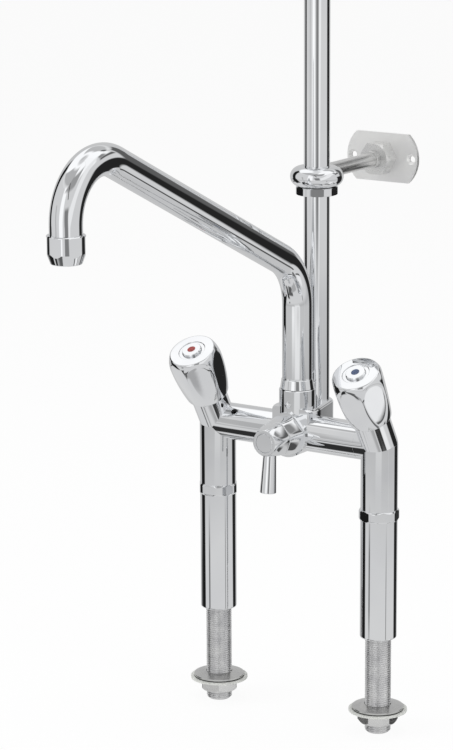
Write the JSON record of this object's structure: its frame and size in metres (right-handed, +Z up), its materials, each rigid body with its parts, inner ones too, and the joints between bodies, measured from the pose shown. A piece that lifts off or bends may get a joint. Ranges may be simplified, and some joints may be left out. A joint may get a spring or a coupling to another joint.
{
  "type": "bridge kitchen faucet",
  "caption": "Chrome bridge kitchen faucet with tapered six-sided handles, swinging gooseneck spout, diverter lever and a riser pipe braced to the wall.",
  "frame": {"origin": "on the deck, midway between the two inlet shanks", "axes": "+X to the cold side, +Y to the wall, +Z up"},
  "size_m": [0.2, 0.451, 0.599],
  "materials": {
    "chrome": "polished chrome plate",
    "shank_steel": "bright threaded steel",
    "satin_steel": "satin steel",
    "black_rubber": "black rubber",
    "pale_plastic": "pale translucent plastic",
    "brass": "machined brass",
    "ceramic": "polished white ceramic",
    "red_enamel": "red enamel",
    "blue_enamel": "dark blue enamel"
  },
  "bodies": {
    "faucet_body": {"bridge_body": "chrome", "left_valve_body": "chrome", "right_valve_body": "chrome", "left_union_nut": "chrome", "right_union_nut": "chrome", "left_inlet_sleeve": "chrome", "right_inlet_sleeve": "chrome", "left_shroud": "chrome", "right_shroud": "chrome", "left_inlet_shank": "shank_steel", "right_inlet_shank": "shank_steel", "dished_washers": "satin_steel", "rubber_gaskets": "black_rubber", "backing_washers": "pale_plastic", "backnuts": "satin_steel", "arm_set_screws": "satin_steel", "spigot_o_rings": "black_rubber", "union_seals": "black_rubber", "inlet_strainers": "satin_steel", "left_headwork": "brass", "right_headwork": "brass", "seat_seals": "black_rubber", "fixed_discs": "ceramic", "diverter_bonnet": "chrome", "diverter_o_ring": "black_rubber", "spout_lock_screw": "chrome", "riser_pipe": "chrome", "riser_seal": "black_rubber", "clamp_ring": "chrome", "clamp_nut": "chrome", "split_cone": "brass", "wall_rod": "satin_steel", "wall_sleeve": "satin_steel", "wall_nut": "satin_steel", "wall_plate": "satin_steel"},
    "left_handle_assembly": {"left_handle": "chrome", "left_handle_screw": "satin_steel", "left_handle_cap": "chrome", "hot_dot": "red_enamel", "left_spindle": "brass", "left_moving_disc": "ceramic"},
    "right_handle_assembly": {"right_handle": "chrome", "right_handle_screw": "satin_steel", "right_handle_cap": "chrome", "cold_dot": "blue_enamel", "right_spindle": "brass", "right_moving_disc": "ceramic"},
    "diverter_assembly": {"diverter_knob": "chrome", "diverter_knob_screw": "satin_steel", "diverter_knob_cap": "chrome", "diverter_lever": "chrome", "diverter_spindle": "brass", "diverter_plug": "brass"},
    "spout_assembly": {"spout_tube": "chrome", "spout_tail": "brass", "spout_o_rings": "black_rubber", "spout_collar": "chrome", "nozzle": "chrome", "aerator_insert": "satin_steel", "aerator_washer": "black_rubber"}
  },
  "joints": [
    {"name": "spout_swivel", "type": "hinge", "parent": "faucet_body", "child": "spout_assembly", "pos_m": [0, 0, 0.1944], "axis": [0, 0, 1], "range_deg": [-120, 120]},
    {"name": "hot_handle_turn", "type": "hinge", "parent": "faucet_body", "child": "left_handle_assembly", "pos_m": [-0.0765, 0, 0.1589], "axis": [0, -0.5, 0.866], "range_deg": [0, 180]},
    {"name": "cold_handle_turn", "type": "hinge", "parent": "faucet_body", "child": "right_handle_assembly", "pos_m": [0.0765, 0, 0.1589], "axis": [0, -0.5, 0.866], "range_deg": [0, 180]},
    {"name": "diverter_turn", "type": "hinge", "parent": "faucet_body", "child": "diverter_assembly", "pos_m": [0, -0.0165, 0.1589], "axis": [0, -1, 0], "range_deg": [0, 90]}
  ]
}
